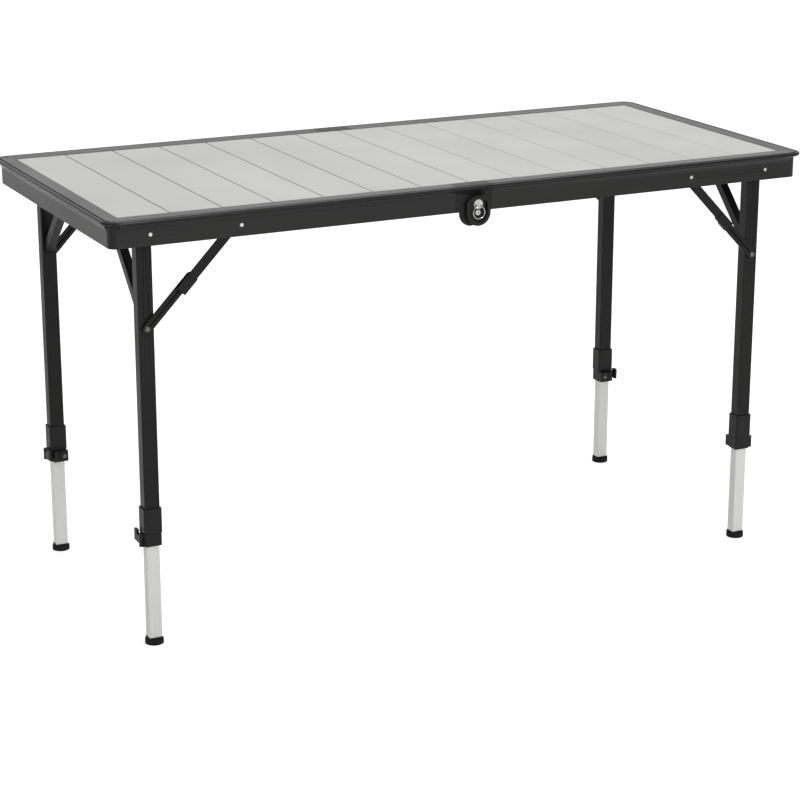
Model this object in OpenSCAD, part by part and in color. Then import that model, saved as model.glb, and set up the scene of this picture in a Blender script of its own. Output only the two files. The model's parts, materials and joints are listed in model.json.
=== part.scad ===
// Folding table: a slatted top in two halves, telescopic legs and jackknife braces.
// X runs along the length, Y across the width, Z up. The origin is on the floor under the middle.

/* [Overall] */
// Length over the rounded lips
table_l = 1290; // [1080:10:1600]
// Width over the rounded lips
table_w = 590; // [500:10:760]
// Height of the rim's crown above the floor
table_h = 720; // [600:5:870]

/* [Top] */
// Distance from the outer lip to the slats, at the long sides
border_w = 38; // [34:1:50]
// Distance from the outer lip to the slats, at the ends
border_end = 32; // [30:1:50]
// How far the lip stands out past the rail's face
lip_over = 10; // [8.5:0.5:12]
// Depth of the rail below the crown
rail_h = 44; // [40:1:56]
// Wall of the rail extrusion
rail_wall = 2; // [1.5:0.1:3]
// Radius of the rail's face round a corner
corner_r = 14; // [10:1:20]
// Slats in each half
slats = 7; // [4:1:9]
// Thickness of a slat
slat_t = 7; // [5:0.5:8]
// Gap between neighbouring slats
slat_gap = 0.8; // [0.4:0.1:2]
// Step from the rim's crown down to the slats
slat_step = 1; // [0.5:0.1:2]
// Gap between the two halves at the fold
fold_gap = 0.6; // [0.4:0.1:1.5]

/* [Fold hinge] */
// Length of the left hinge block, beyond the fold line
block_left = 40; // [30:1:60]
// Length of the right hinge block
block_right = 27; // [25:1:60]
// Radius of the hinge knuckles
knuckle_r = 22; // [20:1:26]
// Drop of the fold axis below the rail
axis_drop = 2; // [0:0.5:4]
// How far the boss stands out from the rail's face
boss_out = 7; // [6.5:0.5:8]
// Diameter of the hinge axle
axle_d = 8; // [6:0.5:10]

/* [Legs] */
// From the rail's end face to the leg's axis
leg_in_x = 66; // [50:1:110]
// From the rail's long face to the leg's axis
leg_in_y = 43; // [40:1:60]
// Depth of the leg pivot below the crown
pivot_drop = 26; // [25:0.5:28]
// Upper tube along X
tube_x = 26; // [22:0.5:28]
// Upper tube along Y
tube_y = 22; // [18:0.5:26]
// Wall of every leg tube
tube_wall = 1.5; // [1:0.1:2]
// Height of the clamp's lower face above the floor
clamp_z = 172; // [120:5:200]
// Height of the clamp band
band_h = 22; // [16:1:26]
// Height of the sleeve above the band
sleeve_h = 42; // [30:1:50]
// How far the lower tube reaches up into the upper tube
overlap = 120; // [80:5:160]
// Height of the foot cap
foot_h = 14; // [10:1:20]

/* [Braces] */
// Brace bolt to leg pivot, along the rail
brace_rail = 152; // [120:1:180]
// Brace rivet to leg pivot, down the leg
brace_leg = 158; // [110:1:180]
// Width of a brace arm
arm_w = 16; // [14:1:20]
// Thickness of a brace arm
arm_t = 2.5; // [2:0.1:3]

/* [Hidden] */
$fn = 48;

anthracite = "#4a4a4a";
black = "#262626";
silver = "#d4d4d2";
steel = "#c9c9c6";

eps = 0.01;
run = 0.05;                                  // radial clearance of a running fit
fit = 0.2;                                   // a fastener's hole over its shank
free = 0.3;                                  // clearance between faces that pass each other

face_x = table_l / 2 - lip_over;             // rail's end face
face_y = table_w / 2 - lip_over;             // rail's long face
inner_x = table_l / 2 - border_end;           // where the slats end
inner_y = table_w / 2 - border_w;
flange = border_w - lip_over;                // top flange of the long rims, inwards of the rail's face
flange_end = border_end - lip_over;          // the same at the ends
turn_x = face_x - corner_r;                  // where the straight rims meet the corner caps
turn_y = face_y - corner_r;
slat_under = slat_step + slat_t;             // underside of the slats, below the crown
ledge_t = 1.5;
ledge_w = 12;
axis_z = table_h - rail_h - axis_drop;       // fold axis
leg_x = face_x - leg_in_x;
leg_y = face_y - leg_in_y;
pivot_z = table_h - pivot_drop;

bolt_d = 6;
layer = 8.6;                                 // thickness of one knuckle behind the boss
boss_front = face_y + boss_out;
block_back = face_y - 2 * layer - free;

arm_len = sqrt(brace_rail * brace_rail + brace_leg * brace_leg);
upper_len = (arm_len + brace_leg - brace_rail) / 2;
arm_tail = 28;                               // upper arm past its knuckle, with the tab that stops the lower arm
lower_y = leg_y + tube_y / 2 + 2;            // inner face of the lower arm
upper_y = lower_y + arm_t + 5;               // inner face of the upper arm
tab_t = 1.5;
rivet_d = 5;

lower_x_w = tube_x - 2 * tube_wall - 0.8;    // lower tube, 0.4 mm free all round
lower_y_w = tube_y - 2 * tube_wall - 0.8;
sleeve_wall = 2.5;
band_top = clamp_z + band_h;
upper_end = band_top + 4;
pin_x = tube_x / 2 + sleeve_wall + 3.4;      // lever's pin, outside the band and towards its outer corner
pin_y = -6;
pin_d = 3.4;
clamp_depth = 9;                             // clamping block on the inner side of the band
screw_x = -7;

plunger_up = 14;                             // plunger above the fold axis
plunger_d = 5;
plunger_in = 2.5;                            // how far the plunger's nose reaches into the groove
groove_in = 4;
head_d = 16;
head_t = 3.4;
recess = 5;
floor_y = -boss_front + recess;              // floor of the recess in the boss
eye_out = 5.6;                               // ring's plane, out from the recess floor
eye_up = plunger_up - 3;                     // ring's hole above the fold axis
ring_r = 10.5;
ring_wire = 0.9;

// Shapes built in the right front quarter, moved to the quarter asked for
module at(sx, sy) {
  if (sx < 0) mirror([1, 0, 0]) at(1, sy) children();
  else if (sy > 0) mirror([0, 1, 0]) children();
  else children();
}

module rod(d, h, axis = "y") {
  rotate(axis == "y" ? [-90, 0, 0] : axis == "x" ? [0, 90, 0] : [0, 0, 0]) cylinder(d = d, h = h);
}

function arc(cx, cy, r, from, to, n) =
  [for (i = [0 : n]) [cx + r * cos(from + (to - from) * i / n), cy + r * sin(from + (to - from) * i / n)]];

bead_r = 3.3;
groove = 2.2;                                // depth of the groove behind the bead
cove_h = 11;                                 // height of the hollow under the bead
cove_r = 26;
cove_top = [lip_over - 2.6, -2 * bead_r + 0.4];
cove_foot = [0, cove_top[1] - cove_h];
// Centre of the arc from the cove's top to its foot, out in front of the rail
cove_mid = (cove_top + cove_foot) / 2;
cove_run = cove_foot - cove_top;
cove_centre = cove_mid + sqrt(pow(cove_r / norm(cove_run), 2) - 0.25) * [-cove_run[1], cove_run[0]];
function angle_from(c, p) = (atan2(p[1] - c[1], p[0] - c[0]) + 360) % 360;
// Top of the rim, from the slats over the bead; x is out from the rail's face
function rim_top(flange) = concat(
  [[-flange, -slat_step], [-flange + 1, -0.5], [lip_over - 8.9, 0], [lip_over - 8.1, -groove],
    [lip_over - 6.7, -groove]],
  arc(lip_over - bead_r, -bead_r, bead_r, 150, -75, 14));
// The whole outside, down to the rail's foot
function rim_outside(flange) = concat(rim_top(flange),
  arc(cove_centre[0], cove_centre[1], cove_r, angle_from(cove_centre, cove_top), angle_from(cove_centre, cove_foot), 6),
  [[0, -rail_h]]);
// At a corner the cap has no cove under its bead
function corner_outside(flange) = concat(rim_top(flange), [[0, -2 * bead_r], [0, -rail_h]]);

// Open extrusion: top flange, ledge for the slats, face wall and a small foot
module rim_profile(flange, outside) {
  difference() {
    polygon(concat(outside, [[-8, -rail_h], [-8, -slat_under - ledge_t],
      [-flange - ledge_w, -slat_under - ledge_t], [-flange - ledge_w, -slat_under], [-flange, -slat_under]]));
    polygon([[-rail_wall, -rail_h + rail_wall], [-rail_wall, -slat_under - ledge_t - 2],
      [-8 - eps, -slat_under - ledge_t - 2], [-8 - eps, -rail_h + rail_wall]]);
    polygon([[-flange + rail_wall, -rail_wall - 0.5], [lip_over - 10, -rail_wall - 0.5], [lip_over - 9, -groove - 2],
      [lip_over - 5, -5.2], [0.5, -slat_under], [-flange + rail_wall, -slat_under]]);
  }
}

module solid_profile() {
  polygon(concat(rim_outside(flange), [[block_back - face_y, -rail_h], [block_back - face_y, -slat_under],
    [-flange, -slat_under]]));
}

// A profile run along X on the front side, from x0 to x1
module run_front(x0, x1) {
  translate([x0, -face_y, table_h]) rotate([90, 0, 90]) linear_extrude(x1 - x0) mirror([1, 0]) children();
}

module rim_long(sx, sy, x0) {
  color(anthracite) at(sx, sy) difference() {
    intersection() {
      run_front(x0, turn_x) rim_profile(flange, rim_outside(flange));
      translate([0, 0, -1]) linear_extrude(table_h + 2)
        polygon([[0, -table_w], [turn_x, -table_w], [turn_x, -turn_y], [turn_x - mitre_end, -turn_y + mitre_end],
          [turn_x - mitre_end, 0], [0, 0]]);
    }
    for (x = [leg_x, leg_x - brace_rail]) translate([x, -face_y - 1, pivot_z]) rod(bolt_d + fit, rail_wall + 2);
  }
}

// Mitred corner of an end rim in plan, at the front (side -1) or the back (side 1)
mitre_end = flange_end - corner_r;
under_end = flange + ledge_w - corner_r;
function rim_end_edge(side) = [[table_l, side * turn_y], [turn_x, side * turn_y],
  [turn_x - mitre_end, side * (turn_y - mitre_end)], [turn_x - mitre_end, side * (turn_y - under_end)],
  [turn_x - mitre_end - under_end, side * (turn_y - under_end)]];

module rim_end(sx) {
  color(anthracite) at(sx, -1) intersection() {
    translate([face_x, -turn_y, table_h]) rotate([90, 0, 180]) linear_extrude(2 * turn_y)
      mirror([1, 0]) rim_profile(flange_end, rim_outside(flange_end));
    translate([0, 0, -1]) linear_extrude(table_h + 2)
      polygon(concat(rim_end_edge(-1), [for (i = [4 : -1 : 0]) rim_end_edge(1)[i]]));
  }
}

// Rounded corner cap, hollow below
module corner(sx, sy) {
  color(black) at(sx, sy) translate([face_x - corner_r, -face_y + corner_r, table_h])
    rotate([0, 0, -90]) rotate_extrude(angle = 90) intersection() {
      translate([corner_r, 0]) union() {
        rim_profile(flange, corner_outside(flange));
        polygon([[-corner_r, -slat_under], [-corner_r, -1.0], [-2, -1.0], [-rail_wall, -slat_under]]);
      }
      translate([eps, -rail_h - 1]) square([corner_r + lip_over + 2, rail_h + 2]);
    }
}

module corners(sx) {
  corner(sx, -1);
  corner(sx, 1);
}

// Planks across the width, ribbed below
module slat_set(sx) {
  pitch = (inner_x - fold_gap / 2) / slats;
  color(silver) for (i = [0 : slats - 1]) at(sx, -1)
    translate([fold_gap / 2 + i * pitch + slat_gap / 2, 0, table_h - slat_step]) slat(pitch - slat_gap);
}

module slat(w) {
  chamfer = 0.6;
  rib = 1.2;
  l = 2 * inner_y - 2 * free;
  cells = 4;
  cell = (w - rib) / cells;
  translate([0, l / 2, 0]) rotate([90, 0, 0]) linear_extrude(l) difference() {
    polygon([[0, -slat_t], [w, -slat_t], [w, -chamfer], [w - chamfer, 0], [chamfer, 0], [0, -chamfer]]);
    for (i = [0 : cells - 1])
      translate([rib + i * cell, -slat_t + rib]) square([cell - rib, slat_t - 2 * rib]);
  }
}

// Flat bars under the slats
module battens(sx) {
  batten_t = 3;
  batten_w = 28;
  color(black) for (sy = [-1, 1]) at(sx, sy)
    translate([fold_gap, -inner_y / 2 - batten_w / 2, table_h - slat_under - batten_t])
      cube([inner_x - ledge_w - 2 * fold_gap, batten_w, batten_t]);
}

// Knuckles behind the rail's face: 1 belongs to the right block, 2 to the left
module knuckle(i, r, grow = 0) {
  translate([0, -face_y + (i - 1) * (layer + free) - grow, axis_z]) rod(2 * r, layer + 2 * grow);
}

boss_top = rail_h + cove_foot[1] + axis_drop - free;   // from the fold axis up to the cove's foot
// Plate of the boss: a disc that runs up as an arch, inside the circle that the other half's lip swings on
module boss_plate(r, h) {
  rotate([90, 0, 0]) linear_extrude(h) {
    circle(r);
    intersection() {
      circle(boss_top - knuckle_r + r);
      translate([-r, 0]) square([2 * r, boss_top]);
    }
  }
}

module hinge_block_left(sy) {
  knuckle_1 = knuckle_r - 1.5;
  color(black) at(1, sy) difference() {
    union() {
      run_front(-block_left, -fold_gap / 2) solid_profile();
      translate([0, -face_y - free, axis_z]) boss_plate(knuckle_r, boss_out - free);
      translate([-knuckle_r / 2, -face_y - free - eps, axis_z]) intersection() {
        rod(2 * knuckle_r, free + 1);
        translate([-knuckle_r, 0, -knuckle_r]) cube([knuckle_r * 1.5 - free, free + 1, 2 * knuckle_r + boss_top]);
      }
      knuckle(2, knuckle_r);
    }
    knuckle(1, knuckle_1 + free, free);
    translate([0, -boss_front - 1, axis_z]) rod(axle_d + 2 * run, boss_front - block_back + 2);
    translate([0, floor_y, axis_z]) boss_plate(knuckle_r - 6, recess + 1);
    translate([0, -boss_front - 1, axis_z + plunger_up]) rod(plunger_d + 2 * run, boss_out + 2);
  }
}

module hinge_block_right(sy) {
  clear_r = knuckle_r + free;
  color(black) at(1, sy) difference() {
    union() {
      run_front(fold_gap / 2, block_right) solid_profile();
      knuckle(1, knuckle_r - 1.5);
    }
    knuckle(2, clear_r, free);
    translate([0, -face_y - 1, axis_z]) rod(axle_d + 2 * run, layer + 2);
    translate([0, -face_y - 1, axis_z]) rotate([-90, 0, 0]) rotate_extrude()
      translate([plunger_up - plunger_d / 2 - free, 0]) square([plunger_d + 2 * free, groove_in + 1]);
  }
}

// Axle with a screw head at the outside
module axle(sy) {
  color(steel) at(1, sy) translate([0, floor_y, axis_z]) difference() {
    union() {
      rod(axle_d, -floor_y - block_back);
      translate([0, -2, 0]) rod(axle_d + 1, 2);
    }
    translate([0, -2 - eps, 0]) nut(4, 1.6);
  }
}

// Spring plunger with an eye for the pull ring
module plunger(sy) {
  color(steel) at(1, sy) difference() {
    union() {
      translate([0, floor_y - head_t, axis_z + plunger_up]) rod(head_d, head_t - free);
      translate([0, floor_y - head_t, axis_z + plunger_up]) rod(plunger_d, head_t + boss_out - recess + plunger_in);
      translate([-1.5, floor_y - eye_out - 2.2, axis_z + eye_up - 2.2]) cube([3, eye_out + 2.2 - head_t + 1, 4.4]);
    }
    translate([-3, floor_y - eye_out, axis_z + eye_up]) rod(2 * ring_wire + 0.8, 6, "x");
  }
}

module pull_ring(sy) {
  color(steel) at(1, sy) translate([0, floor_y - eye_out, axis_z + eye_up - ring_r])
    rotate([90, 0, 0]) rotate_extrude() translate([ring_r, 0]) circle(ring_wire);
}

// Bolts through the rail: one for the leg's pivot and one for the brace
module rail_bolts(sx) {
  head = 10;
  head_t = 2.6;
  color(steel) for (sy = [-1, 1]) at(sx, sy) {
    translate([leg_x, 0, pivot_z]) {
      pan_head(head, head_t);
      translate([0, -face_y, 0]) rod(bolt_d, leg_in_y + tube_y / 2 + 5);
      translate([0, -leg_y + tube_y / 2 + free, 0]) nut(10, 4.4);
    }
    translate([leg_x - brace_rail, 0, pivot_z]) {
      pan_head(head, head_t);
      translate([0, -face_y, 0]) rod(bolt_d, face_y - upper_y + 1);
      translate([0, -upper_y + free / 2, 0]) rod(9, 1);
    }
  }
}

module pan_head(d, t) {
  difference() {
    union() {
      translate([0, -face_y - t / 2, 0]) rod(d, t / 2);
      translate([0, -face_y - t, 0]) rod(d - 2, t);
    }
    for (a = [0, 90]) rotate([0, a + 20, 0]) translate([-d / 3.4, -face_y - t - eps, -0.6]) cube([d / 1.7, 1.2, 1.2]);
  }
}

module nut(af, t) {
  rotate([-90, 0, 0]) linear_extrude(t) circle(d = af / cos(30), $fn = 6);
}

// Sleeves that hold the legs and the braces off the rail
module spacers(sx) {
  color(steel) for (sy = [-1, 1]) at(sx, sy) {
    spacer(leg_x, leg_y + tube_y / 2 + 0.5);
    spacer(leg_x - brace_rail, upper_y + arm_t + free);
  }
}

module spacer(x, y_end) {
  translate([x, -face_y + rail_wall, pivot_z]) difference() {
    rod(12, face_y - rail_wall - y_end);
    translate([0, -1, 0]) rod(bolt_d + fit, face_y - y_end);
  }
}

module tube(w, d, h, r, wall) {
  linear_extrude(h) difference() {
    rounded(w, d, r);
    rounded(w - 2 * wall, d - 2 * wall, r - wall + 0.4);
  }
}

module rounded(w, d, r) {
  square([w - 2 * r, d], center = true);
  square([w, d - 2 * r], center = true);
  for (x = [-1, 1], y = [-1, 1]) translate([x * (w / 2 - r), y * (d / 2 - r)]) circle(r, $fn = 24);
}

tube_r = 2;
crossbar = 20;
// Upper tube of a leg
module leg(sx, sy) {
  top = pivot_z + 10;
  color(black) at(sx, sy) difference() {
    translate([leg_x, -leg_y, upper_end]) tube(tube_x, tube_y, top - upper_end, tube_r, tube_wall);
    translate([leg_x, -leg_y - tube_y, pivot_z]) rod(bolt_d + 2 * run, 2 * tube_y);
    translate([leg_x, -leg_y - tube_y, pivot_z - brace_leg]) rod(rivet_d + fit, tube_y);
  }
}

// Crossbar between the two legs, with the two diagonals welded under it
module crossbar_set(sx) {
  strut = 15;
  drop = 140;
  inner = leg_y - tube_y / 2;
  color(black) at(sx, -1) {
    translate([leg_x, inner, pivot_z]) rotate([90, 0, 0])
      tube(crossbar, crossbar, 2 * inner, tube_r, tube_wall);
    for (sy = [-1, 1]) at(1, sy) difference() {
      translate([leg_x, -inner, pivot_z - drop]) rotate([-45, 0, 0]) translate([-strut / 2, -strut, -strut])
        cube([strut, strut, drop * sqrt(2) + 2 * strut]);
      translate([leg_x - strut, -inner - drop, pivot_z - 2 * drop]) cube([2 * strut, drop, 3 * drop]);
      translate([leg_x - strut, -table_w, pivot_z - crossbar / 2]) cube([2 * strut, table_w, drop]);
    }
  }
}

module leg_rivets(sx) {
  color(steel) for (sy = [-1, 1]) at(sx, sy) translate([leg_x, 0, pivot_z - brace_leg]) {
    translate([0, -lower_y - arm_t - 1.6, 0]) rod(rivet_d + 4, 1.4);
    translate([0, -lower_y - arm_t - 1, 0]) rod(rivet_d, arm_t + 2 + tube_wall + 1);
  }
}

// Jackknife brace in the front right quarter; its line runs from the rail's bolt to the leg's rivet
module along_brace() {
  translate([leg_x - brace_rail, 0, pivot_z]) rotate([0, atan2(brace_leg, brace_rail), 0]) children();
}

module arm(y, from, to, hole_a, hole_b) {
  difference() {
    union() {
      translate([from, -y - arm_t, -arm_w / 2]) cube([to - from, arm_t, arm_w]);
      for (x = [from, to]) translate([x, -y - arm_t, 0]) rod(arm_w, arm_t);
    }
    translate([from, -y - arm_t - 1, 0]) rod(hole_a, arm_t + 2);
    translate([to, -y - arm_t - 1, 0]) rod(hole_b, arm_t + 2);
  }
}

module upper_arm(sx, sy) {
  tail_w = arm_w + free + tab_t;
  color(black) at(sx, sy) along_brace() {
    arm(upper_y, 0, upper_len, bolt_d + 2 * run, rivet_d);
    translate([upper_len - 4, -upper_y - arm_t, arm_w / 2 - tail_w]) cube([arm_tail + 4, arm_t, tail_w]);
    translate([upper_len + arm_w / 2, -upper_y - arm_t, arm_w / 2 - tail_w])
      cube([arm_tail - arm_w / 2, upper_y + arm_t - lower_y - free, tab_t]);
    translate([upper_len, -upper_y - arm_t - 1.5, 0]) rod(rivet_d + 4, 1.5);
    translate([upper_len, -upper_y - arm_t, 0]) rod(rivet_d, upper_y - lower_y - free);
  }
}

module lower_arm(sx, sy) {
  color(black) at(sx, sy) along_brace()
    arm(lower_y, upper_len, arm_len, rivet_d + 2 * run, rivet_d + 2 * run);
}

// Collar: a sleeve on the upper tube and a split band on the lower tube, with lugs for the lever
module collar(sx, sy) {
  w = tube_x + 2 * sleeve_wall;
  d = tube_y + 2 * sleeve_wall;
  lug_t = 3;
  block_h = band_h - 3;
  slit = 1.2;
  color(black) at(sx, sy) translate([leg_x, -leg_y, 0]) difference() {
    union() {
      translate([0, 0, band_top]) linear_extrude(sleeve_h) rounded(w, d, 3);
      translate([0, 0, clamp_z]) linear_extrude(band_h - 1) rounded(w - 1.6, d - 1.6, 3);
      translate([0, 0, band_top - 1 - eps]) linear_extrude(1 + 2 * eps) rounded(w - 3, d - 3, 2.5);
      for (z = [clamp_z + 1, band_top - 1 - lug_t]) translate([0, 0, z]) linear_extrude(lug_t) {
        translate([w / 2 - 3, pin_y - 5]) square([pin_x - w / 2 + 3, 9 - pin_y]);
        translate([pin_x, pin_y]) circle(3.9);
      }
      translate([-1.5, (d + clamp_depth - 3) / 2, clamp_z + 1]) linear_extrude(block_h)
        rounded(w - 4.6, clamp_depth + 3, 2);
    }
    translate([0, 0, upper_end]) linear_extrude(sleeve_h + band_h) rounded(tube_x, tube_y, tube_r);
    translate([0, 0, clamp_z - 1]) linear_extrude(sleeve_h) rounded(lower_x_w + 0.8, lower_y_w + 0.8, 1.4);
    translate([w / 4, -1, clamp_z - 1]) cube([w, 2, band_h - 1]);
    translate([pin_x, pin_y, clamp_z - 1]) cylinder(d = pin_d + 2 * run, h = band_h + 2);
    // Slit between the block's two ears, the screw's bore and finger grooves
    translate([1.5, d / 2 - 1, clamp_z - 1]) cube([slit, clamp_depth + 2, band_h]);
    translate([screw_x, d / 2 + clamp_depth - 6, clamp_z + band_h / 2]) rod(3 + fit, 7);
    for (i = [-1 : 1]) translate([-w / 2 - 1, d / 2 + 2.5, clamp_z + band_h / 2 + 4 * i]) cube([2.4, 4, 1.6]);
  }
}

module lever(sx, sy) {
  hub_h = band_h - 2 - 2 * 3 - 2 * free;
  reach = 29;
  grip_from = 16;                            // clear of the lugs
  grip_in = -2.9;
  grip_out = 2.2;
  grip_low = 5;
  grip_h = 19;
  wall = 1.3;
  color(black) at(sx, sy) translate([leg_x + pin_x, -leg_y + pin_y, clamp_z]) difference() {
    union() {
      translate([0, 0, 4 + free]) linear_extrude(hub_h) {
        circle(3.6);
        translate([-1.6, 0]) square([3.6, grip_from + 1]);
      }
      translate([(grip_in + grip_out) / 2, (grip_from + reach) / 2, grip_low]) linear_extrude(grip_h)
        rounded(grip_out - grip_in, reach - grip_from, 2);
    }
    translate([0, 0, -1]) cylinder(d = pin_d + 2 * run, h = band_h + 2);
    // Hollow behind the fingertip, and three grooves outside it
    translate([grip_in + wall, grip_from + 2, grip_low + 4])
      cube([grip_out - grip_in - 2 * wall, reach - grip_from - 4, grip_h]);
    for (i = [0 : 2]) translate([grip_out - 0.6, grip_from + 5, grip_low + 4 + 4 * i]) cube([2, 5, 1.8]);
  }
}

// Pins of the four levers' hinges and the screws that set how tight they clamp
module lever_pins(sx) {
  color(steel) for (sy = [-1, 1]) at(sx, sy) {
    translate([leg_x + pin_x, -leg_y + pin_y, clamp_z + 0.6]) cylinder(d = pin_d, h = band_h - 1.2 - 0.4);
    translate([leg_x + screw_x, -leg_y + tube_y / 2 + sleeve_wall + clamp_depth, clamp_z + band_h / 2]) {
      rod(7, 1.8);
      translate([0, -5.5, 0]) rod(3, 5.5);
    }
  }
}

module lower_leg(sx, sy) {
  color(silver) at(sx, sy) translate([leg_x, -leg_y, foot_h - 6])
    tube(lower_x_w, lower_y_w, upper_end + overlap - foot_h + 6, 1.5, tube_wall);
}

// Foot cap: a plug inside the tube, a square collar and a round bulging disc
module foot(sx, sy) {
  disc_r = 15.5;
  disc_h = foot_h - 5;
  edge = 3;
  color(black) at(sx, sy) translate([leg_x, -leg_y, 0]) difference() {
    union() {
      rotate_extrude() polygon(concat([[0, 0]], arc(disc_r - edge, edge, edge, -90, 0, 6),
        arc(disc_r - edge, disc_h - edge, edge, 0, 90, 6), [[0, disc_h]]));
      translate([0, 0, disc_h - 1]) linear_extrude(foot_h - disc_h + 1)
        rounded(lower_x_w + 2.4, lower_y_w + 2.4, 2.2);
      translate([0, 0, foot_h - eps]) linear_extrude(16)
        rounded(lower_x_w - 2 * tube_wall, lower_y_w - 2 * tube_wall, 0.6);
    }
    translate([0, 0, foot_h - 6]) linear_extrude(6 + eps) difference() {
      rounded(lower_x_w, lower_y_w, 1.5);
      rounded(lower_x_w - 2 * tube_wall, lower_y_w - 2 * tube_wall, 0.6);
    }
  }
}

slat_set(-1);  // slats_left
slat_set(1);  // slats_right
battens(-1);  // battens_left
battens(1);  // battens_right
rim_long(-1, -1, block_left);  // rim_left_front
rim_long(-1, 1, block_left);  // rim_left_back
rim_long(1, -1, block_right);  // rim_right_front
rim_long(1, 1, block_right);  // rim_right_back
rim_end(-1);  // rim_left_end
rim_end(1);  // rim_right_end
corners(-1);  // corners_left
corners(1);  // corners_right
hinge_block_left(-1);  // hinge_left_front
hinge_block_left(1);  // hinge_left_back
hinge_block_right(-1);  // hinge_right_front
hinge_block_right(1);  // hinge_right_back
axle(-1);  // axle_front
axle(1);  // axle_back
plunger(-1);  // plunger_front
plunger(1);  // plunger_back
pull_ring(-1);  // pull_ring_front
pull_ring(1);  // pull_ring_back
rail_bolts(-1);  // rail_bolts_left
rail_bolts(1);  // rail_bolts_right
spacers(-1);  // spacers_left
spacers(1);  // spacers_right
leg(-1, -1);  // leg_left_front
leg(-1, 1);  // leg_left_back
leg(1, -1);  // leg_right_front
leg(1, 1);  // leg_right_back
crossbar_set(-1);  // crossbar_left
crossbar_set(1);  // crossbar_right
leg_rivets(-1);  // leg_rivets_left
leg_rivets(1);  // leg_rivets_right
collar(-1, -1);  // collar_left_front
collar(-1, 1);  // collar_left_back
collar(1, -1);  // collar_right_front
collar(1, 1);  // collar_right_back
lever(-1, -1);  // lever_left_front
lever(-1, 1);  // lever_left_back
lever(1, -1);  // lever_right_front
lever(1, 1);  // lever_right_back
lever_pins(-1);  // lever_pins_left
lever_pins(1);  // lever_pins_right
lower_leg(-1, -1);  // lower_leg_left_front
lower_leg(-1, 1);  // lower_leg_left_back
lower_leg(1, -1);  // lower_leg_right_front
lower_leg(1, 1);  // lower_leg_right_back
foot(-1, -1);  // foot_left_front
foot(-1, 1);  // foot_left_back
foot(1, -1);  // foot_right_front
foot(1, 1);  // foot_right_back
upper_arm(-1, -1);  // upper_arm_left_front
upper_arm(-1, 1);  // upper_arm_left_back
upper_arm(1, -1);  // upper_arm_right_front
upper_arm(1, 1);  // upper_arm_right_back
lower_arm(-1, -1);  // lower_arm_left_front
lower_arm(-1, 1);  // lower_arm_left_back
lower_arm(1, -1);  // lower_arm_right_front
lower_arm(1, 1);  // lower_arm_right_back
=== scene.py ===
import bpy
import json
from math import atan2, pi, radians
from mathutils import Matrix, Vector


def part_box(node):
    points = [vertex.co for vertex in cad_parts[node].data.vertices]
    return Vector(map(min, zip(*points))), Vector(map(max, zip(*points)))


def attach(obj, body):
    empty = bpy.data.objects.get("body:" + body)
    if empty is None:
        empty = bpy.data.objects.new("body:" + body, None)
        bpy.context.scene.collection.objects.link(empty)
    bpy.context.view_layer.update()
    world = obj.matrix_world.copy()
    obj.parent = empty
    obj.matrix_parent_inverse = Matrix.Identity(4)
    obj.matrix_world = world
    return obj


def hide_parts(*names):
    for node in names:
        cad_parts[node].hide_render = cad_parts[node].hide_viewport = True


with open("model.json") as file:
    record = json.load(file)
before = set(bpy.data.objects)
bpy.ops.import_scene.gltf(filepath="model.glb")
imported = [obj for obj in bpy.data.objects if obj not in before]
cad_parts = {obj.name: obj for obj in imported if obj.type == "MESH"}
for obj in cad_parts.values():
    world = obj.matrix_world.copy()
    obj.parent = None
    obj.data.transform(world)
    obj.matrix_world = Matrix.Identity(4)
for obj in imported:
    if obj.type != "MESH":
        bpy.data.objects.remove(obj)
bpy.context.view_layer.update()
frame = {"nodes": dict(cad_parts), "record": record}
nodes = frame["nodes"]
print("frame loaded:", len(nodes), "nodes")

mm = 0.001
ends = ("left", "right")
sides = ("front", "back")


def selectOnly(piece):
    bpy.ops.object.select_all(action="DESELECT")
    piece.select_set(True)
    bpy.context.view_layer.objects.active = piece


def addCube(name, size, at, turn=(0, 0, 0)):
    bpy.ops.object.select_all(action="DESELECT")
    bpy.ops.mesh.primitive_cube_add(size=1, location=at, rotation=turn)
    piece = bpy.context.object
    piece.name = name
    piece.scale = size
    bpy.ops.object.transform_apply(location=True, rotation=True, scale=True)
    return piece


def addCylinder(name, radius, depth, at, along="z", corners=48):
    turn = {"z": (0, 0, 0), "y": (pi / 2, 0, 0), "x": (0, pi / 2, 0)}[along]
    bpy.ops.object.select_all(action="DESELECT")
    bpy.ops.mesh.primitive_cylinder_add(vertices=corners, radius=radius, depth=depth, location=at,
                                        rotation=turn)
    piece = bpy.context.object
    piece.name = name
    bpy.ops.object.transform_apply(location=True, rotation=True, scale=True)
    return piece


def applyModifier(piece, kind, **settings):
    selectOnly(piece)
    modifier = piece.modifiers.new(kind.lower(), kind)
    for key, value in settings.items():
        setattr(modifier, key, value)
    bpy.ops.object.modifier_apply(modifier=modifier.name)


def roundEdges(piece, width, segments=3, angle=30):
    applyModifier(piece, "BEVEL", width=width, segments=segments, limit_method="ANGLE",
                  angle_limit=radians(angle))


def cutAway(piece, cutter):
    applyModifier(piece, "BOOLEAN", operation="DIFFERENCE", solver="EXACT", object=cutter)
    bpy.data.objects.remove(cutter)


def joinPieces(pieces, name):
    selectOnly(pieces[0])
    for other in pieces[1:]:
        other.select_set(True)
    bpy.ops.object.join()
    piece = bpy.context.object
    piece.name = name
    return piece


def pickFaces(piece, wanted):
    # leaves the piece in edit mode with only the wanted faces selected
    selectOnly(piece)
    bpy.ops.object.mode_set(mode="EDIT")
    bpy.ops.mesh.select_mode(type="FACE")
    bpy.ops.mesh.select_all(action="DESELECT")
    bpy.ops.object.mode_set(mode="OBJECT")
    for face in piece.data.polygons:
        face.select = wanted(face.center, face.normal)
    bpy.ops.object.mode_set(mode="EDIT")


def leaveEdit():
    bpy.ops.object.mode_set(mode="OBJECT")


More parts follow.
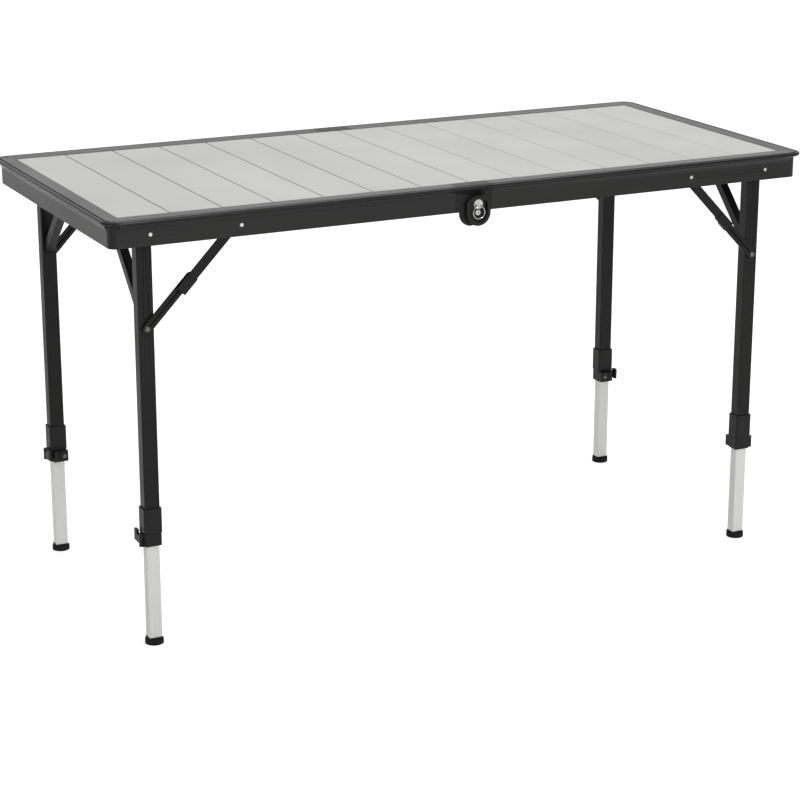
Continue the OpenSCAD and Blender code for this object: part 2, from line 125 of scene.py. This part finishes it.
def smooth(piece, angle=35):
    selectOnly(piece)
    bpy.ops.object.shade_smooth_by_angle(angle=radians(angle))


def mirrored(piece, name, flipX=False, flipY=False):
    # the seeds stand at the right front, and a mirrored copy has its faces turned outwards again
    selectOnly(piece)
    bpy.ops.object.duplicate(linked=False)
    copy = bpy.context.object
    copy.name = name
    copy.scale = (-1 if flipX else 1, -1 if flipY else 1, 1)
    bpy.ops.object.transform_apply(location=True, rotation=True, scale=True)
    if flipX != flipY:
        bpy.ops.object.mode_set(mode="EDIT")
        bpy.ops.mesh.select_all(action="SELECT")
        bpy.ops.mesh.normals_make_consistent(inside=False)
        leaveEdit()
    return copy


def place(piece, body, material):
    piece.data.materials.clear()
    piece.data.materials.append(material)
    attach(piece, body)


def linear(hexColour):
    channels = [int(hexColour[i:i + 2], 16) / 255 for i in (1, 3, 5)]
    return [c / 12.92 if c <= 0.04045 else ((c + 0.055) / 1.055) ** 2.4 for c in channels] + [1]


def addNode(tree, kind, settings=None, links=None):
    node = tree.nodes.new(kind)
    for key, value in (settings or {}).items():
        if isinstance(key, int) or key in node.inputs:
            node.inputs[key].default_value = value
        else:
            setattr(node, key, value)
    for key, source in (links or {}).items():
        tree.links.new(source, node.inputs[key])
    return node


def newMaterial(name, finish):
    material = bpy.data.materials.new(name)
    material.use_nodes = True
    tree = material.node_tree
    shader = tree.nodes["Principled BSDF"]
    for key in ("Metallic", "Roughness", "Specular IOR Level"):
        if key in finish:
            shader.inputs[key].default_value = finish[key]
    return material, tree, shader


def blendColours(tree, low, high, factor):
    # inputs 6 and 7 of a Mix node are its two colours, and either may be a hex value or another node's output
    settings = {"data_type": "RGBA"}
    links = {0: factor}
    for slot, colour in ((6, low), (7, high)):
        if isinstance(colour, str):
            settings[slot] = linear(colour)
        else:
            links[slot] = colour
    return addNode(tree, "ShaderNodeMix", settings, links).outputs[2]


def spread(tree, value, low, high, outLow=0.0, outHigh=1.0):
    limits = {"From Min": low, "From Max": high, "To Min": outLow, "To Max": outHigh}
    return addNode(tree, "ShaderNodeMapRange", limits, {"Value": value}).outputs[0]


def addBump(tree, shader, height, strength, distance):
    # distance is in millimetres
    bump = addNode(tree, "ShaderNodeBump", {"Strength": strength, "Distance": distance * mm},
                   {"Height": height})
    tree.links.new(bump.outputs[0], shader.inputs["Normal"])


# Natural anodised aluminium, drawn and fine-brushed along the plank: a pale, even grey with hair-thin streaks
# The streaks are 0.9 mm apart, coarser than the real brushing so that they show
# joint is the colour of the painted shade along the plank joints, and jointWidth is how far from a joint it
# fades out
slatFinish = {"pale": "#cdcdcb", "shade": "#c1c1bf", "joint": "#686562", "jointWidth": 1.0, "streak": 0.9,
              "Metallic": 0.15, "gloss": (0.36, 0.50), "bump": 0.035, "batch": 0.05, "planks": 7, "gap": 0.8}
noiseRange = (0.3, 0.7)  # where most of a noise texture's values lie
slatsLow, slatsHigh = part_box("slats_right")
slatPitch = (slatsHigh[0] - slatsLow[0] + slatFinish["gap"] * mm) / slatFinish["planks"]


def anodisedPlank():
    material, tree, shader = newMaterial("anodised aluminium plank, brushed", slatFinish)
    where = addNode(tree, "ShaderNodeTexCoord").outputs["Object"]
    stretched = addNode(tree, "ShaderNodeMapping", {"Scale": (1 / (slatFinish["streak"] * mm), 6, 300)},
                        {"Vector": where}).outputs[0]
    streaks = addNode(tree, "ShaderNodeTexNoise", {"Scale": 1.0, "Detail": 3.0, "Roughness": 0.6},
                      {"Vector": stretched}).outputs[0]
    cloud = addNode(tree, "ShaderNodeTexNoise", {"Scale": 5.0, "Detail": 2.0}, {"Vector": where}).outputs[0]
    both = addNode(tree, "ShaderNodeMath", {"operation": "MULTIPLY_ADD", 1: 0.55},
                   {0: streaks, 2: cloud}).outputs[0]
    base = blendColours(tree, slatFinish["shade"], slatFinish["pale"], spread(tree, both, 0.55, 1.0))
    # every plank comes from its own length of extrusion, so its tone is a little its own
    across = addNode(tree, "ShaderNodeSeparateXYZ", links={"Vector": where}).outputs["X"]
    plankNumber = addNode(tree, "ShaderNodeMath", {"operation": "DIVIDE", 1: slatPitch}, {0: across}).outputs[0]
    whole = addNode(tree, "ShaderNodeMath", {"operation": "FLOOR"}, {0: plankNumber}).outputs[0]
    chance = addNode(tree, "ShaderNodeTexWhiteNoise", {"noise_dimensions": "1D"}, {"W": whole}).outputs["Value"]
    tone = spread(tree, chance, 0.0, 1.0, 1 - slatFinish["batch"], 1.0)
    toned = addNode(tree, "ShaderNodeVectorMath", {"operation": "SCALE"}, {0: base, "Scale": tone}).outputs[0]
    # painted shade along the joints between planks: a dark line standing in for the shadow down in the gaps
    fromJoint = addNode(tree, "ShaderNodeMath", {"operation": "PINGPONG", 1: slatPitch / 2},
                        {0: across}).outputs[0]
    width = slatFinish["jointWidth"] * mm
    outsideJointShade = spread(tree, fromJoint, width * 0.5, width)
    paintedJointShade = blendColours(tree, slatFinish["joint"], toned, outsideJointShade)
    tree.links.new(paintedJointShade, shader.inputs["Base Color"])
    rough = spread(tree, streaks, *noiseRange, *slatFinish["gloss"])
    tree.links.new(rough, shader.inputs["Roughness"])
    addBump(tree, shader, streaks, slatFinish["bump"], 0.2)
    return material


# Powder coat on metal or fine-grained moulded plastic: one dark colour, a faint orange peel or grain, and edges
# rubbed a little paler
def coated(name, finish):
    material, tree, shader = newMaterial(name, finish)
    where = addNode(tree, "ShaderNodeTexCoord").outputs["Object"]
    grain = addNode(tree, "ShaderNodeTexNoise", {"Scale": 1 / (finish["grain"] * mm), "Detail": 2.0},
                    {"Vector": where}).outputs[0]
    cloud = addNode(tree, "ShaderNodeTexNoise", {"Scale": 9.0, "Detail": 3.0}, {"Vector": where}).outputs[0]
    worn = addNode(tree, "ShaderNodeNewGeometry").outputs["Pointiness"]
    edge = spread(tree, worn, 0.52, 0.62, 0.0, finish["edgeWear"])
    base = blendColours(tree, finish["dark"], finish["light"], spread(tree, cloud, 0.35, 0.65))
    tree.links.new(blendColours(tree, base, finish["worn"], edge), shader.inputs["Base Color"])
    middle = finish["Roughness"]
    rough = spread(tree, cloud, *noiseRange, middle - 0.05, middle + 0.06)
    tree.links.new(rough, shader.inputs["Roughness"])
    addBump(tree, shader, grain, finish["bump"], 0.3)
    return material


rimFinish = {"dark": "#141313", "light": "#191817", "worn": "#33312f", "edgeWear": 0.3,
             "grain": 1.1, "bump": 0.08, "Roughness": 0.22, "Specular IOR Level": 0.38}
tubeFinish = {"dark": "#121212", "light": "#181817", "worn": "#262524", "edgeWear": 0.3,
              "grain": 0.9, "bump": 0.10, "Roughness": 0.34, "Specular IOR Level": 0.26}
plasticFinish = {"dark": "#141414", "light": "#1a1a19", "worn": "#2a2a29", "edgeWear": 0.3,
                 "grain": 0.7, "bump": 0.2, "Roughness": 0.40, "Specular IOR Level": 0.30}
cornerFinish = {"dark": "#161515", "light": "#1b1a1a", "worn": "#333130", "edgeWear": 0.3,
                "grain": 0.8, "bump": 0.12, "Roughness": 0.28, "Specular IOR Level": 0.36}
rubberFinish = {"dark": "#121212", "light": "#181818", "worn": "#2a2a2a", "edgeWear": 0.4,
                "grain": 0.6, "bump": 0.30, "Roughness": 0.62, "Specular IOR Level": 0.3}


# Bare or plated metal: the colour of the plating, drawing marks along one axis and small changes in gloss
def bareMetal(name, finish):
    material, tree, shader = newMaterial(name, finish)
    where = addNode(tree, "ShaderNodeTexCoord").outputs["Object"]
    stretched = addNode(tree, "ShaderNodeMapping", {"Scale": finish["marks"]}, {"Vector": where}).outputs[0]
    marks = addNode(tree, "ShaderNodeTexNoise", {"Scale": 1.0, "Detail": 3.0, "Roughness": 0.6},
                    {"Vector": stretched}).outputs[0]
    base = blendColours(tree, finish["dark"], finish["light"], spread(tree, marks, *noiseRange))
    tree.links.new(base, shader.inputs["Base Color"])
    middle = finish["Roughness"]
    rough = spread(tree, marks, *noiseRange, middle * 0.8, middle * 1.25)
    tree.links.new(rough, shader.inputs["Roughness"])
    addBump(tree, shader, marks, finish["bump"], 0.1)
    return material


# Drawing marks run up the tube, 0.7 mm apart, coarser than the real ones so that they show
drawnFinish = {"dark": "#e2e2e0", "light": "#eeeeec", "marks": (1400, 1400, 12), "bump": 0.05, "Metallic": 0.35,
               "Roughness": 0.36}
chromeFinish = {"dark": "#c9c9c7", "light": "#dcdcda", "marks": (300, 300, 300), "bump": 0.02, "Metallic": 1.0,
                "Roughness": 0.14}
zincFinish = {"dark": "#6f6f6c", "light": "#868683", "marks": (500, 500, 500), "bump": 0.05, "Metallic": 1.0,
              "Roughness": 0.34}

plank = anodisedPlank()
rimCoat = coated("powder-coated aluminium, anthracite", rimFinish)
tubeCoat = coated("powder-coated tube, black", tubeFinish)
nylon = coated("moulded nylon, black", plasticFinish)
cornerNylon = coated("moulded nylon, anthracite", cornerFinish)
rubber = coated("moulded rubber, black", rubberFinish)
drawnTube = bareMetal("anodised aluminium tube, natural", drawnFinish)
chrome = bareMetal("chrome plate", chromeFinish)
zinc = bareMetal("zinc-plated steel", zincFinish)
bySlot = {"slats": plank, "rim": rimCoat, "moulding": nylon, "black_tube": tubeCoat, "silver_tube": drawnTube,
          "hardware": chrome, "rivet": zinc}
print("materials made:", len(bySlot))


# Pressed, cast and sawn edges are never sharp; widths in millimetres for each kind of material
softWidth = {"slats": 0.4, "rim": 0.35, "moulding": 0.5, "black_tube": 0.4, "silver_tube": 0.35,
             "hardware": 0.15, "rivet": 0.15}
softEdges = {"segments": 2, "angle": 32, "weld": 0.01}
for row in frame["record"]["subparts"]:
    node = nodes[row["node"]]
    slotName = row["material_slot"]
    node.data.materials.clear()
    node.data.materials.append(cornerNylon if row["node"].startswith("corners") else bySlot[slotName])
    for face in node.data.polygons:
        face.use_smooth = True
    weld = node.modifiers.new("weld", "WELD")
    weld.merge_threshold = softEdges["weld"] * mm
    bevel = node.modifiers.new("soft edges", "BEVEL")
    bevel.width = softWidth[slotName] * mm
    bevel.segments = softEdges["segments"]
    bevel.limit_method = "ANGLE"
    bevel.angle_limit = radians(softEdges["angle"])
    bevel.use_clamp_overlap = True
    node.modifiers.new("even shading", "WEIGHTED_NORMAL")
print("CAD pieces finished")


joints = {row["name"]: row["pos_m"] for row in frame["record"]["behaviour"]["joints"] if "pos_m" in row}
legAt = joints["legs_fold_right"]
braceAt = joints["upper_arm_turn_right_front"]
rivetAt = joints["lower_arm_turn_right_front"]


def quarters(end):
    # for each side of this end of the table: its name, and how the right front seed is mirrored to it
    return [(side, end == "left", side == "back") for side in sides]


def everyOther(across, along, count):
    # true for every second one of count faces round an axis
    return round(atan2(along, across) / (2 * pi) * count - 0.5) % 2 == 0


# Pan-head screws with a cross recess, domed in three steps. A leg's screw ends in a nut inside the tube, and
# a brace's in a flat closed end behind the arms
boltSet = {"headRadius": 5.0, "headHeight": 2.6, "recess": (5.8, 2.7, 1.3), "recessTurn": 20, "shank": 3.0,
           "pastTube": 5.0, "nutRadius": 5.7, "nutHeight": 4.4, "nutGap": 0.3, "nutEdge": 0.5,
           "armStack": 4.0, "pastArms": 1.0, "closedEnd": 4.5, "endThick": 1.0, "endGap": 0.05}
domeSteps = ((0.16, 0.45), (0.24, 0.35), (0.3, 0.2))  # inwards as shares of the radius, up as shares of the rise


def domedHead(name, radius, height, at, shareStraight=0.5):
    straight = height * shareStraight * mm
    head = addCylinder(name, radius * mm, straight, (at[0], at[1] - straight / 2, at[2]), "y")
    rise = height * (1 - shareStraight) * mm
    for thickness, depth in domeSteps:
        pickFaces(head, lambda centre, normal: normal.y < -0.9 and centre.y < at[1] - straight * 0.9)
        bpy.ops.mesh.inset(thickness=thickness * radius * mm, depth=depth * rise)
        leaveEdit()
    return head


def screwHead(name, at):
    head = domedHead(name, boltSet["headRadius"], boltSet["headHeight"], at)
    long, deep, wide = (size * mm for size in boltSet["recess"])
    for quarter in (0, 90):
        turn = (0, radians(boltSet["recessTurn"] + quarter), 0)
        slot = addCube("slot", (long, deep, wide), (at[0], at[1] - boltSet["headHeight"] * mm, at[2]), turn)
        cutAway(head, slot)
    return head


def hexNut(name, at):
    height = boltSet["nutHeight"] * mm
    nut = addCylinder(name, boltSet["nutRadius"] * mm, height, (at[0], at[1] + height / 2, at[2]), "y", 6)
    roundEdges(nut, boltSet["nutEdge"] * mm, 2)
    return nut


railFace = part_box("rail_bolts_right")[0][1] + boltSet["headHeight"] * mm
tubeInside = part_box("leg_right_front")[1][1]
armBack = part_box("upper_arm_right_front")[0][1] + boltSet["armStack"] * mm
boltParts = []
shankEnds = ((legAt, tubeInside + boltSet["pastTube"] * mm), (braceAt, armBack + boltSet["pastArms"] * mm))
for at, innerEnd in shankEnds:
    boltParts.append(screwHead("head", (at[0], railFace, at[2])))
    length = innerEnd - railFace
    middle = (at[0], railFace + length / 2, at[2])
    boltParts.append(addCylinder("shank", boltSet["shank"] * mm, length, middle, "y", 32))
boltParts.append(hexNut("nut", (legAt[0], tubeInside + boltSet["nutGap"] * mm, legAt[2])))
endMiddle = armBack + (boltSet["endGap"] + boltSet["endThick"] / 2) * mm
boltParts.append(addCylinder("closedEnd", boltSet["closedEnd"] * mm, boltSet["endThick"] * mm,
                             (braceAt[0], endMiddle, braceAt[2]), "y", 32))
boltSeed = joinPieces(boltParts, "boltSeed")
smooth(boltSeed)
for end in ends:
    copies = [mirrored(boltSeed, "bolt", flipX=flipX, flipY=flipY) for side, flipX, flipY in quarters(end)]
    bolts = joinPieces(copies, "screws_" + end)
    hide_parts("rail_bolts_" + end)
    place(bolts, "top_" + end, chrome)
bpy.data.objects.remove(boltSeed)
print("rail screws made")

# Domed rivets where the braces meet the legs
rivetSet = {"radius": 4.5, "straight": 0.3, "shank": 2.5, "length": 7.0}
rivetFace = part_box("lower_arm_right_front")[0][1]
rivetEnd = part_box("leg_rivets_right")[0][1]
rivetIn = rivetFace + rivetSet["length"] * mm
rivetHead = domedHead("head", rivetSet["radius"], (rivetFace - rivetEnd) / mm,
                      (rivetAt[0], rivetFace, rivetAt[2]), rivetSet["straight"])
rivetShank = addCylinder("shank", rivetSet["shank"] * mm, rivetIn - rivetFace,
                         (rivetAt[0], (rivetFace + rivetIn) / 2, rivetAt[2]), "y", 24)
rivetSeed = joinPieces([rivetHead, rivetShank], "rivetSeed")
smooth(rivetSeed)
for end in ends:
    copies = [mirrored(rivetSeed, "rivet", flipX=flipX, flipY=flipY) for side, flipX, flipY in quarters(end)]
    rivets = joinPieces(copies, "rivets_" + end)
    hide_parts("leg_rivets_" + end)
    place(rivets, "legs_" + end, zinc)
bpy.data.objects.remove(rivetSeed)
print("leg rivets made")

# Rubber feet: a square socket for the tube on a bulging disc with a ringed tread and ribs round its waist
footSet = {"discHeight": 8.0, "discEdge": 2.2, "ribs": 26, "ribInset": 0.25, "ribDepth": 0.7,
           "treadRings": 3, "tread": (2.4, 0.9), "top": 12.0, "collar": 1.0, "socketEdge": 1.6, "sunk": 2.0}
footLow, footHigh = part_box("foot_right_front")
tubeLow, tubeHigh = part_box("lower_leg_right_front")
footAt = [(footLow[i] + footHigh[i]) / 2 for i in range(2)]
discRadius = (footHigh[0] - footLow[0]) / 2
discTop = footSet["discHeight"] * mm
ribFaces = footSet["ribs"] * 2
foot = addCylinder("footSeed", discRadius, discTop, (footAt[0], footAt[1], discTop / 2), corners=ribFaces)
pickFaces(foot, lambda centre, normal: abs(normal.z) < 0.1 and
          everyOther(centre.x - footAt[0], centre.y - footAt[1], ribFaces))
bpy.ops.mesh.inset(thickness=footSet["ribInset"] * mm, depth=-footSet["ribDepth"] * mm, use_individual=True)
leaveEdit()
roundEdges(foot, footSet["discEdge"] * mm, 4, 60)
for ring in range(footSet["treadRings"]):
    # the middle of the underside goes in, out and in again
    pickFaces(foot, lambda centre, normal: normal.z < -0.99 and centre.z < 1.5 * mm and
              (centre.xy - Vector(footAt)).length < 0.5 * mm)
    bpy.ops.mesh.inset(thickness=footSet["tread"][0] * mm, depth=(-1) ** (ring + 1) * footSet["tread"][1] * mm)
    leaveEdit()
socketTop = footSet["top"] * mm
socketLow = discTop - footSet["sunk"] * mm
socketSize = [tubeHigh[i] - tubeLow[i] + 2 * footSet["collar"] * mm for i in range(2)] + [socketTop - socketLow]
socket = addCube("socket", socketSize, (footAt[0], footAt[1], (socketTop + socketLow) / 2))
roundEdges(socket, footSet["socketEdge"] * mm, 4)
footSeed = joinPieces([foot, socket], "footSeed")
smooth(footSeed)
for end in ends:
    for side, flipX, flipY in quarters(end):
        piece = mirrored(footSeed, "rubber_foot_" + end + "_" + side, flipX=flipX, flipY=flipY)
        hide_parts("foot_" + end + "_" + side)
        place(piece, "lower_leg_" + end + "_" + side, rubber)
bpy.data.objects.remove(footSeed)
print("feet made")

# Pull knob of the locking plunger: a knurled, dished button with a drilled lug for the ring
knobSet = {"radius": 8.0, "height": 3.1, "eyeOut": 5.6, "gap": 0.3, "knurls": 40, "knurlInset": 0.12,
           "knurlDepth": 0.3, "dish": ((0.9, 0.0), (0.8, -0.5), (3.0, -0.4), (1.0, 0.5)), "shank": 2.5,
           "shankSunk": 1.0, "lug": (3.0, 4.4), "lugSunk": 1.5, "lugEdge": 0.9, "hole": 1.35, "drill": 8.0}
ringAt = joints["ring_swing_front"]
plungerLow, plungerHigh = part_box("plunger_front")
knobZ = (plungerLow[2] + plungerHigh[2]) / 2
floorY = ringAt[1] + knobSet["eyeOut"] * mm
knobFront = floorY - (knobSet["height"] + knobSet["gap"]) * mm
knurlFaces = knobSet["knurls"] * 2
knob = addCylinder("knobSeed", knobSet["radius"] * mm, knobSet["height"] * mm,
                   (0, knobFront + knobSet["height"] / 2 * mm, knobZ), "y", knurlFaces)
pickFaces(knob, lambda centre, normal: abs(normal.y) < 0.1 and
          everyOther(centre.x, centre.z - knobZ, knurlFaces))
bpy.ops.mesh.inset(thickness=knobSet["knurlInset"] * mm, depth=-knobSet["knurlDepth"] * mm, use_individual=True)
leaveEdit()
for thickness, depth in knobSet["dish"]:
    pickFaces(knob, lambda centre, normal: normal.y < -0.9 and abs(centre.x) < 0.2 * mm and
              abs(centre.z - knobZ) < 0.2 * mm)
    bpy.ops.mesh.inset(thickness=thickness * mm, depth=depth * mm)
    leaveEdit()
shankFront = knobFront + knobSet["shankSunk"] * mm
shank = addCylinder("shank", knobSet["shank"] * mm, plungerHigh[1] - shankFront,
                    (0, (plungerHigh[1] + shankFront) / 2, knobZ), "y", 32)
lugBack = knobFront + knobSet["lugSunk"] * mm
lug = addCube("lug", (knobSet["lug"][0] * mm, lugBack - plungerLow[1], knobSet["lug"][1] * mm),
              (0, (lugBack + plungerLow[1]) / 2, ringAt[2]))
roundEdges(lug, knobSet["lugEdge"] * mm, 4)
cutAway(lug, addCylinder("hole", knobSet["hole"] * mm, knobSet["drill"] * mm, ringAt, "x", 32))
knobSeed = joinPieces([knob, shank, lug], "knobSeed")
smooth(knobSeed, 25)
for side in sides:
    piece = mirrored(knobSeed, "pull_knob_" + side, flipY=side == "back")
    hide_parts("plunger_" + side)
    place(piece, "plunger_" + side, chrome)
bpy.data.objects.remove(knobSeed)
print("pull knobs made")

# Hinge pins of the clamp levers with rounded ends, and the screws with a hexagon socket in the clamping blocks
clampSet = {"pin": 1.7, "edge": 0.5, "screwIn": 7.0, "screwUp": 0.2, "head": 3.5, "headHeight": 1.8,
            "socket": 1.7, "socketDrill": 2.4, "shank": 1.5, "shankLength": 5.5, "overlap": 0.01}
pinLow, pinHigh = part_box("lever_pins_right")
pinMiddle = (pinLow[2] + pinHigh[2]) / 2
leverAt = joints["lever_swing_right_front"]
pin = addCylinder("pin", clampSet["pin"] * mm, pinHigh[2] - pinLow[2], (leverAt[0], leverAt[1], pinMiddle),
                  corners=32)
roundEdges(pin, clampSet["edge"] * mm, 3, 60)
screwX = legAt[0] - clampSet["screwIn"] * mm
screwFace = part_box("collar_right_front")[1][1]
screwZ = pinMiddle + clampSet["screwUp"] * mm
headFace = screwFace + clampSet["headHeight"] * mm
screw = addCylinder("screw", clampSet["head"] * mm, clampSet["headHeight"] * mm,
                    (screwX, (screwFace + headFace) / 2, screwZ), "y", 40)
roundEdges(screw, clampSet["edge"] * mm, 3, 60)
cutAway(screw, addCylinder("socket", clampSet["socket"] * mm, clampSet["socketDrill"] * mm,
                           (screwX, headFace, screwZ), "y", 6))
shankY = screwFace - (clampSet["shankLength"] / 2 - clampSet["overlap"]) * mm
shank = addCylinder("shank", clampSet["shank"] * mm, clampSet["shankLength"] * mm,
                    (screwX, shankY, screwZ), "y", 24)
clampSeed = joinPieces([pin, screw, shank], "clampSeed")
smooth(clampSeed)
for end in ends:
    copies = [mirrored(clampSeed, "clamp", flipX=flipX, flipY=flipY) for side, flipX, flipY in quarters(end)]
    clampPins = joinPieces(copies, "clamp_pins_" + end)
    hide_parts("lever_pins_" + end)
    place(clampPins, "legs_" + end, zinc)
bpy.data.objects.remove(clampSeed)
print("clamp pins and screws made")


# The ranges say over which part of each direction's axis the light changes from one value to the next
stageSet = {"floorSize": 60, "floor": "#f4f4f3", "floorGlow": 0.5, "top": 0.85, "topRange": (0.35, 0.9),
            "front": 0.26, "back": 0.72, "depthRange": (-0.7, 0.6), "left": 0.12, "leftRange": (-0.9, -0.2)}
bpy.ops.object.select_all(action="DESELECT")
bpy.ops.mesh.primitive_plane_add(size=stageSet["floorSize"], location=(0, 0, 0))
floor = bpy.context.object
floor.name = "floor"
floorPaint, floorTree, floorShader = newMaterial("white paper", {"Roughness": 0.9, "Specular IOR Level": 0.1})
floorShader.inputs["Base Color"].default_value = linear(stageSet["floor"])
floorShader.inputs["Emission Color"].default_value = (1, 1, 1, 1)
glowSeen = addNode(floorTree, "ShaderNodeLightPath").outputs["Is Camera Ray"]
floorGlow = addNode(floorTree, "ShaderNodeMath", {"operation": "MULTIPLY", 1: stageSet["floorGlow"]},
                    {0: glowSeen})
floorTree.links.new(floorGlow.outputs[0], floorShader.inputs["Emission Strength"])
floor.data.materials.append(floorPaint)

# A studio that is brightest behind the table, even overhead and dim in front; seen directly it is plain white
world = bpy.data.worlds.new("studio")
bpy.context.scene.world = world
world.use_nodes = True
worldTree = world.node_tree
direction = addNode(worldTree, "ShaderNodeTexCoord").outputs["Generated"]
parts = addNode(worldTree, "ShaderNodeSeparateXYZ", links={"Vector": direction})
depth = spread(worldTree, parts.outputs["Y"], *stageSet["depthRange"], stageSet["front"], stageSet["back"])
dimLeft = spread(worldTree, parts.outputs["X"], *stageSet["leftRange"], stageSet["left"], 1.0)
around = addNode(worldTree, "ShaderNodeMath", {"operation": "MULTIPLY"}, {0: depth, 1: dimLeft}).outputs[0]
toTop = spread(worldTree, parts.outputs["Z"], *stageSet["topRange"])
mixed = addNode(worldTree, "ShaderNodeMix", {"data_type": "FLOAT", 3: stageSet["top"]},
                {0: toTop, 2: around}).outputs[0]
seen = addNode(worldTree, "ShaderNodeLightPath").outputs["Is Camera Ray"]
glow = addNode(worldTree, "ShaderNodeMix", {"data_type": "FLOAT", 3: 1.0}, {0: seen, 2: mixed}).outputs[0]
worldTree.links.new(glow, worldTree.nodes["Background"].inputs["Strength"])
worldTree.nodes["Background"].inputs["Color"].default_value = (1, 1, 1, 1)

lamps = {
    "overhead": {"at": (0.9, 1.6, 3.2), "size": 2.0, "power": 26, "aim": (0.2, 0.0, 0.6)},
    "leftStrip": {"at": (-3.0, -1.6, 2.2), "size": 0.5, "power": 6, "aim": (-0.5, 0.0, 0.5)},
    "frontStrip": {"at": (0.6, -4.6, 2.6), "size": 0.8, "power": 70, "aim": (0.0, 0.0, 0.5)},
}
for name, lamp in lamps.items():
    bpy.ops.object.select_all(action="DESELECT")
    bpy.ops.object.light_add(type="AREA", location=lamp["at"])
    light = bpy.context.object
    light.name = name
    light.data.size = lamp["size"]
    light.data.energy = lamp["power"]
    towards = Vector(lamp["aim"]) - Vector(lamp["at"])
    light.rotation_euler = towards.to_track_quat("-Z", "Y").to_euler()

view = {"at": (-1.7723, -3.6017, 1.5058), "heading": 0.4571, "down": 0.2982, "lens": 105.0, "sensor": 36}
bpy.ops.object.select_all(action="DESELECT")
bpy.ops.object.camera_add(location=view["at"], rotation=(pi / 2 - view["down"], 0, -view["heading"]))
camera = bpy.context.object
camera.data.lens = view["lens"]
camera.data.sensor_width = view["sensor"]
bpy.context.scene.camera = camera
bpy.context.scene.view_settings.view_transform = "Standard"
print("stage, lights and camera set")
